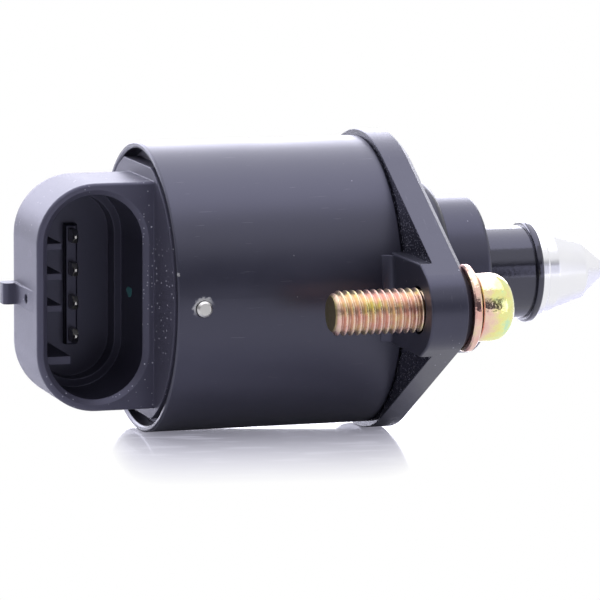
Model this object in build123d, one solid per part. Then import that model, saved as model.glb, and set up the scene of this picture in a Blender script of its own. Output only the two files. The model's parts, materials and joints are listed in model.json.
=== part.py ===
from build123d import *

import os
from math import asin, cos, pi, radians, sin, tan

# Idle air control valve: a small linear stepper motor in a can, with a flanged nose and a sliding pintle.
# Millimetres. X runs along the valve axis towards the pintle tip, and X = 0 is the flange's mounting face.
# The ears lie along Y, the socket faces -Y and Z is up. The pintle is shown at its rest position.

# Clearances
running_clearance = 0.05
slip_clearance = 0.05
end_gap = 0.25

# Flange and ears
web_thickness = 3.6
flange_radius = 17.2
ear_spacing = 50.0
ear_radius = 4.8
pad_rise = 1.4
pad_width = 10.3
pad_edge_radius = 0.25
pad_cove_radius = 1.2
pad_cove_edge = 0.1
flange_chamfer = 0.8

# Nose and its seal
nose_diameter = 18.3
nose_length = 9.7
nose_edge_radius = 0.5
o_ring_section = 2.6
o_ring_groove_depth = 0.45
o_ring_groove_width = 2.7
o_ring_groove_setback = 1.7

# Can
can_diameter = 33.0
can_wall = 0.7
can_length = 26.3
can_edge_chamfer = 0.2

# Pins that lock the rear moulding into the can
lock_pin_diameter = 1.8
lock_pin_depth = 3.4
lock_pin_stand = 0.5
lock_pin_bevel = 0.25
lock_hole_diameter = 1.9
lock_pin_setback = 2.95
lock_pin_level = -0.25

# Rear moulding: plug inside the can, hood round the socket
plug_stand = 0.1
plug_thickness = 5.1
plug_base_thickness = 3.2
plug_rim_gap = 0.45
plug_across_flats = 28.5
hood_height = 25.7
hood_wall = 1.3
hood_corner_radius = 6.8
hood_back_radius = 5.0
hood_edge_radius = 0.4
hood_face_offset = 7.05
hood_back_offset = 8.0
socket_width = 11.0
socket_setback = 1.2
socket_depth = 12.0
socket_mouth_chamfer = 0.6
ledge_depth = 9.4
ledge_width = 0.9

# Plinth and polarising ribs in the socket
plinth_width = 1.4
plinth_height = 1.2
plinth_margin = 1.2
plinth_edge_radius = 0.2
rib_heights = (5.6, 2.2, -1.4)
rib_thickness = 0.7
rib_rise = 2.2
key_rib_height = -7.3
key_rib_thickness = 0.9
key_rib_rise = 3.2
rib_setback = 2.5

# Latch on the outside of the hood
latch_width = 2.4
latch_height = 1.7
latch_length = 2.2
latch_ramp_length = 7.0
latch_ramp_rise = 0.35
latch_setback = 8.6
latch_centre = -0.45
latch_edge_radius = 0.6
latch_pocket_diameter = 1.1
latch_pocket_setback = 4.1
latch_pocket_depth = 0.6

# Terminals
terminal_count = 4
terminal_pitch = 3.8
terminal_width = 1.5
terminal_thickness = 0.64
terminal_length = 3.2
terminal_bevel = 0.6
terminal_edge_bevel = 0.2
terminal_cover = 1.5

# Screws and washers
screw_diameter = 5.0
screw_length = 16.0
screw_neck_diameter = 4.4
screw_end_chamfer = 0.6
screw_head_diameter = 7.6
screw_head_height = 4.65
screw_head_radius = 2.2
screw_recess_width = 1.1
screw_recess_span = 3.8
screw_recess_depth = 2.0
washer_diameter = 9.7
washer_thickness = 0.9
washer_bore = 4.7
washer_bevel = 0.2
ear_hole_diameter = 5.3

# Sleeve
sleeve_diameter = 10.8
sleeve_wall = 0.6
sleeve_exposed = 6.65
sleeve_guided = 8.1
sleeve_end_wall = 2.0
sleeve_ring_diameter = 11.8
sleeve_ring_thickness = 0.9
sleeve_ring_radius = 0.3
lug_length = 2.0
lug_width = 2.4
lug_rise = 1.0
extend_travel = 1.0

# Pintle: spigot, lip, straight barrel, taper down to a shoulder, and cone
pintle_spigot_diameter = 6.0
pintle_lip_length = 1.05
pintle_lip_diameter = 10.4
pintle_lip_radius = 0.25
pintle_barrel_length = 1.15
pintle_barrel_diameter = 9.7
pintle_taper_length = 3.9
pintle_shoulder_diameter = 7.2
pintle_shoulder_radius = 0.8
pintle_cone_half_angle = 40.5
pintle_tip_radius = 0.5

# Lead screw, nut and spring
lead_screw_diameter = 4.0
lead_screw_grip = 3.0
lead_screw_tail = 1.9
nut_length = 7.0
spring_wire = 0.7
spring_coils = 7
spring_seat_thickness = 0.6
spring_seat_bore = 5.2

# Front ball bearing
bearing_bore = 8.0
bearing_diameter = 16.0
bearing_width = 4.0
bearing_ring_wall = 1.0
ball_diameter = 2.4
ball_count = 8
cage_thickness = 0.8
cage_width = 3.3
bearing_seat_wall = 1.6
circlip_thickness = 0.8
circlip_width = 1.2
circlip_bite = 0.5
circlip_opening = 4.0

# Rotor
magnet_diameter = 13.0
hub_diameter = 8.4
hub_shoulder_diameter = 9.4
hub_shoulder_length = 1.2
rear_journal_diameter = 6.4
hub_relief_diameter = 5.0
rear_bush_wall = 1.4
rear_bush_length = 3.0
rear_bush_stand = 0.6
thrust_washer_thickness = 0.3
thrust_washer_wall = 1.2

# Stator
air_gap = 0.5
stator_gap = 0.3
stator_plate = 0.8
stator_wall = 0.8
claw_count = 6
claw_thickness = 0.7
claw_root_width = 3.0
claw_tip_width = 1.6
claw_tip_gap = 0.6
spool_wall = 0.7
spool_flange = 0.6
spool_side_gap = 0.4
winding_margin = 0.5
pilot_wall = 1.6

# Stations along the axis, from the flange's mounting face to the rear
can_front = -web_thickness
can_rear = can_front - can_length
plug_rear = can_rear - plug_stand
plug_front = plug_rear + plug_thickness
plug_base_rear = plug_front - plug_base_thickness
lock_pin_x = can_rear + lock_pin_setback
hood_rear = plug_rear - socket_setback - socket_width - hood_wall
socket_x = plug_rear - socket_setback - socket_width / 2

# Stations of the pintle and its drive
ring_rear = nose_length + sleeve_exposed
ring_front = ring_rear + sleeve_ring_thickness
sleeve_rear = nose_length - sleeve_guided
sleeve_end_rear = ring_front - sleeve_end_wall
retract_travel = sleeve_exposed - end_gap
spring_seat_front = sleeve_rear - retract_travel - end_gap
bearing_front = spring_seat_front - spring_seat_thickness
bearing_rear = bearing_front - bearing_width
bearing_seat_rear = bearing_rear - circlip_thickness
hub_front = bearing_front - end_gap
nut_rear = hub_front - nut_length
lead_screw_rear = nut_rear - extend_travel - lead_screw_tail
lead_screw_front = ring_front + lead_screw_grip
magnet_front = bearing_rear - hub_shoulder_length
rear_bush_front = plug_front + rear_bush_stand
rear_bush_rear = rear_bush_front - rear_bush_length
thrust_washer_front = rear_bush_front + thrust_washer_thickness
magnet_rear = thrust_washer_front + running_clearance
hub_rear = rear_bush_rear + end_gap

# Stations of the two stator stacks
stator_front = bearing_seat_rear - stator_gap
stator_rear = plug_front
stack_length = (stator_front - stator_rear) / 2
stator_middle = stator_rear + stack_length

# Radii worked out from the sizes above
can_radius = can_diameter / 2
can_inner_radius = can_radius - can_wall
insert_radius = can_inner_radius - slip_clearance
nose_radius = nose_diameter / 2
nose_bore_radius = sleeve_diameter / 2 + running_clearance
sleeve_inner_radius = sleeve_diameter / 2 - sleeve_wall
lug_radius = sleeve_diameter / 2 + lug_rise
bearing_seat_radius = bearing_diameter / 2
bearing_pitch_radius = (bearing_bore + bearing_diameter) / 4
race_radius = ball_diameter / 2 + running_clearance
claw_inner_radius = magnet_diameter / 2 + air_gap
claw_outer_radius = claw_inner_radius + claw_thickness
stator_cup_inner_radius = insert_radius - stator_wall
spool_inner_radius = claw_outer_radius + slip_clearance
spool_outer_radius = spool_inner_radius + spool_wall
spool_flange_radius = stator_cup_inner_radius - spool_side_gap
rear_journal_radius = rear_journal_diameter / 2
rear_bush_radius = rear_journal_radius + running_clearance + rear_bush_wall
ear_y = ear_spacing / 2


def ring(x_start, x_end, outer_radius, inner_radius=0.0):
    """A round solid on the valve axis between two stations, hollow where an inner radius is given."""
    section = Circle(outer_radius)
    if inner_radius:
        section -= Circle(inner_radius)
    return extrude(Plane.YZ.offset(x_start) * section, x_end - x_start)


def across(sketch, y_start, y_end):
    """A sketch of X and Z, extruded across the valve between two values of Y."""
    return extrude(Plane.XZ.offset(-y_end) * sketch, y_end - y_start)


def box_between(low, high):
    """A box from its lowest to its highest corner."""
    size = [b - a for a, b in zip(low, high)]
    centre = [(a + b) / 2 for a, b in zip(low, high)]
    return Pos(*centre) * Box(*size)


def around_axis(shape, count, start=0.0):
    """Copies of a shape, evenly spaced about the valve axis."""
    return [Rot(X=start + step * 360 / count) * shape for step in range(count)]


def flange_outline():
    """Round flange with two ears: three circles and the tangent lines that join them."""
    lean = asin((flange_radius - ear_radius) / ear_y)
    outline = Circle(flange_radius)
    for side in (-1, 1):
        outline += Pos(side * ear_y, 0) * Circle(ear_radius)
        corners = [(side * radius * sin(lean) + side * centre, level * radius * cos(lean))
                   for radius, centre, level in ((flange_radius, 0, 1), (ear_radius, ear_y, 1),
                                                 (ear_radius, ear_y, -1), (flange_radius, 0, -1))]
        outline += make_face(Polyline(*corners, close=True))
    return outline


def pad_coves():
    """Hollow fillet that leads the rear face of both pads on to the can, as wide as the pads."""
    pad_rear = can_front - pad_rise
    tail_x = pad_rear - pad_cove_radius
    tail_radius = can_radius + pad_cove_edge
    top_radius = tail_radius + pad_cove_radius
    lean = pad_cove_radius * sin(pi / 4)
    outline = Polyline((tail_x, tail_radius), (tail_x, can_radius), (can_front, can_radius),
                       (can_front, top_radius), (pad_rear, top_radius))
    hollow = ThreePointArc((pad_rear, top_radius), (tail_x + lean, top_radius - lean), (tail_x, tail_radius))
    around = revolve(make_face([*outline.edges(), hollow]), Axis.X)
    half_width = pad_width / 2 - pad_edge_radius
    return around & box_between((tail_x, -top_radius, -half_width), (can_front, top_radius, half_width))


def flange_housing():
    """Flange, ears and nose in one moulding, with the bearing seat and the pilot that enters the can."""
    outline = flange_outline()
    plate = extrude(Plane.YZ.offset(can_front) * outline, web_thickness)
    plate = chamfer(plate.faces().sort_by(Axis.X)[-1].edges(), flange_chamfer)
    pad_strip = Rectangle(2 * (ear_y + ear_radius), pad_width)
    pads = extrude(Plane.YZ.offset(can_front - pad_rise) * (outline & pad_strip), pad_rise)
    pads -= ring(can_front - pad_rise, can_front, can_radius)
    pads = fillet(pads.faces().group_by(Axis.X)[0].edges(), pad_edge_radius)
    nose = ring(0, nose_length, nose_radius)
    nose = fillet(nose.edges().sort_by(Axis.X)[-1], nose_edge_radius)
    seat = ring(bearing_seat_rear, can_front, bearing_seat_radius + bearing_seat_wall)
    pilot = ring(stator_front, can_front, insert_radius, insert_radius - pilot_wall)
    body = plate + pads + pad_coves() + nose + seat + pilot

    groove_front = o_ring_groove_setback + o_ring_groove_width
    body -= ring(o_ring_groove_setback, groove_front, nose_radius, nose_radius - o_ring_groove_depth)
    body -= ring(spring_seat_front, nose_length, nose_bore_radius)
    body -= ring(bearing_seat_rear, spring_seat_front, bearing_seat_radius)
    body -= ring(bearing_seat_rear, bearing_rear, bearing_seat_radius + circlip_bite)
    slot_front = sleeve_rear + lug_length + extend_travel + end_gap
    slot_half = lug_width / 2 + running_clearance
    slot_reach = lug_radius + running_clearance
    body -= box_between((spring_seat_front, -slot_half, -slot_reach), (slot_front, slot_half, slot_reach))
    for side in (-1, 1):
        hole = Plane.YZ.offset(can_front - pad_rise) * Pos(side * ear_y, 0) * Circle(ear_hole_diameter / 2)
        body -= extrude(hole, pad_rise + web_thickness)
    return body


def nose_o_ring():
    """Rubber ring in the groove at the root of the nose."""
    centre_radius = nose_radius - o_ring_groove_depth + o_ring_section / 2
    centre_x = o_ring_groove_setback + o_ring_groove_width / 2
    return Pos(centre_x, 0, 0) * Rot(Y=90) * Torus(centre_radius, o_ring_section / 2)


def motor_can():
    """Thin steel tube round the motor, with a clearance hole for each locking pin."""
    can = ring(can_rear, can_front, can_radius, can_inner_radius)
    circles = can.edges().filter_by(GeomType.CIRCLE)
    rear_circles = circles.group_by(Axis.X)[0]
    front_outer = circles.group_by(Axis.X)[-1].sort_by(SortBy.RADIUS)[-1]
    can = chamfer([*rear_circles, front_outer], can_edge_chamfer)
    hole = Pos(lock_pin_x, 0, lock_pin_level) * Rot(X=90) * Cylinder(lock_hole_diameter / 2, can_diameter)
    return can - hole


def locking_pin(side):
    """Pin pressed into the rear moulding through the can's hole; it stands a little proud."""
    length = can_radius + lock_pin_stand - (insert_radius - lock_pin_depth)
    pin = Cylinder(lock_pin_diameter / 2, length, align=(Align.CENTER, Align.CENTER, Align.MAX))
    pin = chamfer(pin.edges().sort_by(Axis.Z)[-1], lock_pin_bevel)
    outward = Rot(X=90) if side < 0 else Rot(X=-90)
    return Pos(lock_pin_x, side * (can_radius + lock_pin_stand), lock_pin_level) * outward * pin


def terminal(index):
    """Blade in the socket, bent once in the hood's back wall and led forward to the motor."""
    level = terminal_pitch * ((terminal_count - 1) / 2 - index)
    floor_y = socket_depth - hood_face_offset
    tip_y = floor_y - terminal_length
    bend_y = floor_y + terminal_cover
    low = level - terminal_width / 2
    high = level + terminal_width / 2
    blade_rear = socket_x - terminal_thickness / 2
    blade = box_between((blade_rear, tip_y, low), (blade_rear + terminal_thickness, bend_y, high))
    for axis, bevel in ((Axis.X, terminal_bevel), (Axis.Z, terminal_edge_bevel)):
        tip = blade.faces().sort_by(Axis.Y)[0]
        blade = chamfer(tip.edges().filter_by(axis), bevel)
    lead = box_between((blade_rear, bend_y - terminal_thickness, low), (plug_front, bend_y, high))
    return blade + lead


def socket_section(inset=0.0):
    """The socket's round-ended opening in X and Z, drawn in by an inset."""
    height = hood_height - 2 * hood_wall - 2 * inset
    return Pos(socket_x, 0) * SlotOverall(height, socket_width - 2 * inset, rotation=90)


def hood():
    """Hood round the socket: rounded at the rear corners, round its back and round its front face."""
    face = Pos((hood_rear + plug_rear) / 2, 0) * Rectangle(plug_rear - hood_rear, hood_height)
    face = fillet(face.vertices().group_by(Axis.X)[0], hood_corner_radius)
    shell = across(face, -hood_face_offset, hood_back_offset)
    for end, radius in ((0, hood_edge_radius), (-1, hood_back_radius)):
        edges = shell.faces().filter_by(Axis.Y).sort_by(Axis.Y)[end].edges()
        shell = fillet(edges.sort_by(Axis.X)[:-1], radius)
    return shell


def latch():
    """Ramp and stop on the outside of the hood that the mating plug's latch snaps over."""
    stop_y = latch_setback - hood_face_offset
    ramp_y = stop_y - latch_ramp_length
    root_x = hood_rear + hood_wall / 2
    crest_x = hood_rear - latch_ramp_rise
    ramp = Polyline((root_x, ramp_y), (hood_rear, ramp_y), (crest_x, stop_y), (root_x, stop_y), close=True)
    low = latch_centre - latch_width / 2
    high = latch_centre + latch_width / 2
    strip = extrude(Plane.XY.offset(low) * make_face(ramp), latch_width)
    stop = box_between((hood_rear - latch_height, stop_y, low), (root_x, stop_y + latch_length, high))
    outer_edges = stop.faces().sort_by(Axis.X)[0].edges().filter_by(Axis.Z)
    stop = fillet(outer_edges, latch_edge_radius)
    outward = (Align.CENTER, Align.CENTER, Align.MIN)
    pocket = Cylinder(latch_pocket_diameter / 2, latch_pocket_depth + latch_ramp_rise, align=outward)
    pocket_y = stop_y - latch_pocket_setback
    pocket = Pos(hood_rear + latch_pocket_depth, pocket_y, latch_centre) * Rot(Y=-90) * pocket
    return strip + stop, pocket


def connector_housing():
    """Moulding that closes the can: round base, plug with two flats, hood, socket, latch and terminals."""
    base = ring(plug_base_rear, plug_front, insert_radius)
    plug = ring(plug_rear, plug_base_rear, insert_radius - plug_rim_gap)
    flats = box_between((plug_rear, -insert_radius, -plug_across_flats / 2),
                        (plug_base_rear, insert_radius, plug_across_flats / 2))
    latch_solid, latch_pocket = latch()
    body = base + (plug & flats) + hood() + latch_solid
    body -= latch_pocket

    face_y = -hood_face_offset
    floor_y = face_y + socket_depth
    body -= across(socket_section(), face_y, face_y + ledge_depth)
    mouth = body.faces().filter_by(Axis.Y).sort_by(Axis.Y)[0].inner_wires()[0]
    body = chamfer(mouth.edges(), socket_mouth_chamfer)
    body -= across(socket_section(ledge_width), face_y + ledge_depth, floor_y)
    plinth_half = terminal_pitch * (terminal_count - 1) / 2 + plinth_margin
    plinth = box_between((socket_x - plinth_width / 2, floor_y - plinth_height, -plinth_half),
                         (socket_x + plinth_width / 2, floor_y, plinth_half))
    body += fillet(plinth.faces().sort_by(Axis.Y)[0].edges(), plinth_edge_radius)
    wall_x = hood_rear + hood_wall
    ribs = [(height, rib_thickness, rib_rise) for height in rib_heights]
    ribs.append((key_rib_height, key_rib_thickness, key_rib_rise))
    for height, thickness, rise in ribs:
        body += box_between((wall_x - hood_wall / 2, face_y + rib_setback, height - thickness / 2),
                            (wall_x + rise, floor_y, height + thickness / 2))

    body -= ring(rear_bush_rear, plug_front, rear_bush_radius)
    for side in (-1, 1):
        body -= locking_pin(side)
    for index in range(terminal_count):
        body -= terminal(index)
    return body


def mounting_screw(side):
    """Screw through an ear from the front: a thin neck in the ear, then the thread, drawn plain."""
    neck_length = washer_thickness + web_thickness + pad_rise
    below = (Align.CENTER, Align.CENTER, Align.MAX)
    above = (Align.CENTER, Align.CENTER, Align.MIN)
    neck = Cylinder(screw_neck_diameter / 2, neck_length, align=below)
    thread = Cylinder(screw_diameter / 2, screw_length - neck_length, align=below)
    thread = chamfer(thread.edges().sort_by(Axis.Z)[0], screw_end_chamfer)
    shank = neck + Pos(0, 0, -neck_length) * thread
    head = Cylinder(screw_head_diameter / 2, screw_head_height, align=above)
    head = fillet(head.edges().sort_by(Axis.Z)[-1], screw_head_radius)
    recess_base = screw_head_height - screw_recess_depth
    for turn in (0, 90):
        slot = Box(screw_recess_span, screw_recess_width, screw_recess_depth, align=above)
        head -= Pos(0, 0, recess_base) * Rot(Z=turn) * slot
    return Pos(washer_thickness, side * ear_y, 0) * Rot(Y=90) * (shank + head)


def screw_washer(side):
    """Flat washer on a screw's neck, between its head and the flange's front face."""
    section = Circle(washer_diameter / 2) - Circle(washer_bore / 2)
    washer = extrude(Plane.YZ * Pos(side * ear_y, 0) * section, washer_thickness)
    outer_edges = washer.edges().filter_by(GeomType.CIRCLE).group_by(SortBy.RADIUS)[-1]
    return chamfer(outer_edges, washer_bevel)


def pintle_sleeve():
    """Sleeve that slides in the nose: end ring in front, two guide lugs at the rear."""
    sleeve = ring(sleeve_rear, ring_front, sleeve_diameter / 2)
    flare = ring(ring_rear, ring_front, sleeve_ring_diameter / 2)
    sleeve += fillet(flare.edges().filter_by(GeomType.CIRCLE), sleeve_ring_radius)
    lugs = box_between((sleeve_rear, -lug_width / 2, -lug_radius),
                       (sleeve_rear + lug_length, lug_width / 2, lug_radius))
    sleeve += lugs & ring(sleeve_rear, sleeve_rear + lug_length, lug_radius)
    sleeve -= ring(sleeve_rear, sleeve_end_rear, sleeve_inner_radius)
    return sleeve - ring(sleeve_end_rear, ring_front, pintle_spigot_diameter / 2)


def pintle_tip():
    """Turned pintle: spigot in the sleeve's end wall, lip, barrel, taper and a cone with a round tip."""
    lip_radius = pintle_lip_diameter / 2
    barrel_radius = pintle_barrel_diameter / 2
    shoulder_radius = pintle_shoulder_diameter / 2
    lip_x = ring_front + pintle_lip_length
    barrel_x = lip_x + pintle_barrel_length
    shoulder_x = barrel_x + pintle_taper_length
    lean = radians(pintle_cone_half_angle)
    cone_end_x = shoulder_x + shoulder_radius / tan(lean)
    ball_x = cone_end_x - pintle_tip_radius / sin(lean)

    def on_ball(angle):
        return (ball_x + pintle_tip_radius * sin(angle), pintle_tip_radius * cos(angle))

    outline = Polyline((ball_x + pintle_tip_radius, 0), (ring_front, 0), (ring_front, lip_radius),
                       (lip_x, lip_radius), (lip_x, barrel_radius), (barrel_x, barrel_radius),
                       (shoulder_x, shoulder_radius), on_ball(lean))
    tip = ThreePointArc(on_ball(lean), on_ball((lean + pi / 2) / 2), on_ball(pi / 2))
    profile = make_face([*outline.edges(), tip])
    lip_corner = profile.vertices().sort_by_distance((lip_x, lip_radius, 0))[0]
    profile = fillet(lip_corner, pintle_lip_radius)
    shoulder = profile.vertices().sort_by_distance((shoulder_x, shoulder_radius, 0))[0]
    pintle = revolve(fillet(shoulder, pintle_shoulder_radius), Axis.X)
    pintle += ring(sleeve_end_rear, ring_front, pintle_spigot_diameter / 2)
    return pintle - ring(sleeve_end_rear, lead_screw_front, lead_screw_diameter / 2)


def lead_screw():
    """Screw fixed in the pintle and driven by the nut in the rotor hub; its fine thread is drawn plain."""
    return ring(lead_screw_rear, lead_screw_front, lead_screw_diameter / 2)


def return_spring():
    """Coil spring between its seat washer and the sleeve's end wall."""
    mean_radius = sleeve_inner_radius - end_gap - spring_wire / 2
    end_inset = spring_wire / 2 + slip_clearance
    height = sleeve_end_rear - spring_seat_front - 2 * end_inset
    start = (spring_seat_front + end_inset, 0, 0)
    path = Helix(height / spring_coils, height, mean_radius, center=start, direction=(1, 0, 0))
    section = Plane(origin=path @ 0, z_dir=path % 0) * Circle(spring_wire / 2)
    return sweep(section, path=path, is_frenet=True)


def spring_seat_washer():
    """Washer that the spring pushes against; it also covers the bearing."""
    return ring(bearing_front, spring_seat_front, bearing_seat_radius, spring_seat_bore / 2)


def raceway():
    """Room for the balls of the front bearing."""
    middle = (bearing_front + bearing_rear) / 2
    return Pos(middle, 0, 0) * Rot(Y=90) * Torus(bearing_pitch_radius, race_radius)


def bearing_outer_ring():
    """Outer ring of the front bearing, held in the flange housing."""
    outer = ring(bearing_rear, bearing_front, bearing_seat_radius, bearing_seat_radius - bearing_ring_wall)
    return outer - raceway()


def bearing_inner_ring():
    """Inner ring of the front bearing, on the rotor's front journal."""
    inner = ring(bearing_rear, bearing_front, bearing_bore / 2 + bearing_ring_wall, bearing_bore / 2)
    return inner - raceway()


def ball_places(radius):
    """Spheres at the places of the bearing's balls."""
    sphere = Pos((bearing_front + bearing_rear) / 2, 0, bearing_pitch_radius) * Sphere(radius)
    return around_axis(sphere, ball_count)


def bearing_cage():
    """Ring with a round pocket for each ball."""
    middle = (bearing_front + bearing_rear) / 2
    cage = ring(middle - cage_width / 2, middle + cage_width / 2,
                bearing_pitch_radius + cage_thickness / 2, bearing_pitch_radius - cage_thickness / 2)
    for pocket in ball_places(race_radius):
        cage -= pocket
    return cage


def bearing_circlip():
    """Open ring in the groove behind the bearing's outer ring."""
    clip = ring(bearing_seat_rear, bearing_rear, bearing_seat_radius + circlip_bite,
                bearing_seat_radius - circlip_width)
    opening = box_between((bearing_seat_rear, -circlip_opening / 2, 0),
                          (bearing_rear, circlip_opening / 2, bearing_seat_radius + circlip_bite))
    return clip - opening


def rotor_hub():
    """Hub moulded in the magnet: front journal, shoulder, rear journal, and the nut in its bore."""
    hub = ring(hub_rear, magnet_rear, rear_journal_radius)
    hub += ring(magnet_rear, magnet_front, hub_diameter / 2)
    hub += ring(magnet_front, bearing_rear, hub_shoulder_diameter / 2)
    hub += ring(bearing_rear, hub_front, bearing_bore / 2)
    hub -= ring(nut_rear, hub_front, lead_screw_diameter / 2 + running_clearance)
    return hub - ring(hub_rear, nut_rear, hub_relief_diameter / 2)


def rotor_magnet():
    """Ring magnet on the hub."""
    return ring(magnet_rear, magnet_front, magnet_diameter / 2, hub_diameter / 2)


def rear_bush():
    """Plain bush in the rear moulding for the rotor's rear journal."""
    return ring(rear_bush_rear, rear_bush_front, rear_bush_radius, rear_journal_radius + running_clearance)


def thrust_washer():
    """Washer between the rear bush and the rotor."""
    bore = rear_journal_radius + running_clearance
    return ring(rear_bush_front, thrust_washer_front, bore + thrust_washer_wall, bore)


def claws(plate_x, forward, start):
    """Tapered pole claws that stand on a stator plate, all round the rotor."""
    root_x = plate_x + forward * stator_plate
    tip_x = plate_x + forward * (stack_length - stator_plate - claw_tip_gap)
    root_half = claw_root_width / 2
    tip_half = claw_tip_width / 2
    outline = Polyline((plate_x, -root_half), (root_x, -root_half), (tip_x, -tip_half),
                       (tip_x, tip_half), (root_x, root_half), (plate_x, root_half), close=True)
    wedge = extrude(Plane.XY * make_face(outline), 2 * claw_outer_radius)
    band = ring(min(plate_x, tip_x), max(plate_x, tip_x), claw_outer_radius, claw_inner_radius)
    return around_axis(band & wedge, claw_count, start)


def stator_cup(plate_x, forward):
    """End plate with claws and the outer wall of one phase."""
    wall_end = plate_x + forward * (stack_length - stator_plate)
    plate_end = plate_x + forward * stator_plate
    cup = ring(min(plate_x, plate_end), max(plate_x, plate_end), insert_radius, claw_inner_radius)
    cup += ring(min(plate_x, wall_end), max(plate_x, wall_end), insert_radius, stator_cup_inner_radius)
    for claw in claws(plate_x, forward, 0.0):
        cup += claw
    return cup


def stator_plate_piece(plate_x, forward):
    """Middle plate of one phase; its claws stand between those of the cup."""
    plate_end = plate_x + forward * stator_plate
    plate = ring(min(plate_x, plate_end), max(plate_x, plate_end), insert_radius, claw_inner_radius)
    for claw in claws(plate_x, forward, 180 / claw_count):
        plate += claw
    return plate


def bobbin(x_start):
    """Spool between a cup's plate and the middle plate."""
    spool_start = x_start + stator_plate
    spool_end = x_start + stack_length - stator_plate
    spool = ring(spool_start, spool_end, spool_outer_radius, spool_inner_radius)
    for flange_start in (spool_start, spool_end - spool_flange):
        spool += ring(flange_start, flange_start + spool_flange, spool_flange_radius, spool_inner_radius)
    return spool


def winding(x_start):
    """Copper winding on a spool, as one solid ring."""
    inset = stator_plate + spool_flange
    return ring(x_start + inset, x_start + stack_length - inset,
                spool_flange_radius - winding_margin, spool_outer_radius)


def all_pieces():
    """Every piece of the valve, by the name of its node."""
    pieces = {
        "flange_housing": flange_housing(),
        "nose_o_ring": nose_o_ring(),
        "motor_can": motor_can(),
        "connector_housing": connector_housing(),
        "pintle_sleeve": pintle_sleeve(),
        "pintle_tip": pintle_tip(),
        "lead_screw": lead_screw(),
        "return_spring": return_spring(),
        "spring_seat_washer": spring_seat_washer(),
        "bearing_outer_ring": bearing_outer_ring(),
        "bearing_inner_ring": bearing_inner_ring(),
        "bearing_balls": Compound(children=ball_places(ball_diameter / 2)),
        "bearing_cage": bearing_cage(),
        "bearing_circlip": bearing_circlip(),
        "rotor_hub": rotor_hub(),
        "rotor_magnet": rotor_magnet(),
        "rear_bush": rear_bush(),
        "thrust_washer": thrust_washer(),
        "rear_stator_cup": stator_cup(stator_rear, 1),
        "rear_stator_plate": stator_plate_piece(stator_middle, -1),
        "front_stator_plate": stator_plate_piece(stator_middle, 1),
        "front_stator_cup": stator_cup(stator_front, -1),
        "rear_bobbin": bobbin(stator_rear),
        "front_bobbin": bobbin(stator_middle),
        "rear_winding": winding(stator_rear),
        "front_winding": winding(stator_middle),
    }
    for name, side in (("near", -1), ("far", 1)):
        pieces[f"locking_pin_{name}"] = locking_pin(side)
        pieces[f"mounting_screw_{name}"] = mounting_screw(side)
        pieces[f"screw_washer_{name}"] = screw_washer(side)
    for index in range(terminal_count):
        pieces[f"terminal_{index + 1}"] = terminal(index)
    return pieces


os.makedirs("parts", exist_ok=True)
for node, shape in all_pieces().items():
    export_step(shape, f"parts/{node}.step")
print(f"pintle travel {-retract_travel:.2f} to {extend_travel:.2f} mm")
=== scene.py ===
# %% [markdown]
# # An idle air control valve
# The valve is a small stepper motor in a black steel can. A flanged nose of black plastic carries an
# aluminium pintle at one end, and a moulded socket closes the can at the other. The solids come ready
# made and in place. This lesson gives every piece its finish, cuts real threads on the screws, and
# sets up the light and the camera.

# %% Load the valve
import json
import math

import bmesh
import bpy
from mathutils import Matrix, Vector


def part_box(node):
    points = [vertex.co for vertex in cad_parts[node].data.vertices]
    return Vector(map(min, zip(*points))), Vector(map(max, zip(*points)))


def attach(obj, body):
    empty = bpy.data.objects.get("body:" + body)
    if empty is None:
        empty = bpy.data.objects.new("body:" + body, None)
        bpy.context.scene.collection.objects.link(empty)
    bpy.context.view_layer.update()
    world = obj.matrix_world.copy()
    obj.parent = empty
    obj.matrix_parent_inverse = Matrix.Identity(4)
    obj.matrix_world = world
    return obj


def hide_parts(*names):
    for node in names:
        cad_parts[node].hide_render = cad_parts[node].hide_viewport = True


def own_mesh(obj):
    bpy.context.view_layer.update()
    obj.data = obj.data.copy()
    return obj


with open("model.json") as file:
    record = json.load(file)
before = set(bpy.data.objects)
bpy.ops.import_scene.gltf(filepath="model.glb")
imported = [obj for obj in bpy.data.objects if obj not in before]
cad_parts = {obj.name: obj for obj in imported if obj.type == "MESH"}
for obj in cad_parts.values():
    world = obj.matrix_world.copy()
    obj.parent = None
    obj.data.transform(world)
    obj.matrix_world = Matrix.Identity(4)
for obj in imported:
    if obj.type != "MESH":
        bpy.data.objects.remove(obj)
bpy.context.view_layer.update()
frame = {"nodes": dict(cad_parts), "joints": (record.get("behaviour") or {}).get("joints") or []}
nodes = frame["nodes"]
MM = 0.001

# %% [markdown]
# ## Where the camera stands
# The photograph was taken with a long lens, from a little above and from the socket's side. A camera
# needs three directions: to its right, upwards, and back from what it sees. They are worked out here
# from two angles and a slight roll, and they become the columns of the camera's matrix. The position
# follows from the distance and from how far the valve's origin lies off the middle of the picture.

# %% Camera
azimuth = math.radians(-17.778)
elevation = math.radians(8.523)
roll = math.radians(0.328)
camera_distance = 513.2 * MM
origin_right_of_middle = 10.10 * MM
origin_above_middle = 2.675 * MM
picture_width = 600
focal_length_in_pixels = 4443.3

back = Vector((math.sin(azimuth) * math.cos(elevation),
               -math.cos(azimuth) * math.cos(elevation),
               math.sin(elevation)))
level_right = Vector((math.cos(azimuth), math.sin(azimuth), 0))
level_up = back.cross(level_right)
right = level_right * math.cos(roll) + level_up * math.sin(roll)
up = level_up * math.cos(roll) - level_right * math.sin(roll)

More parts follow.
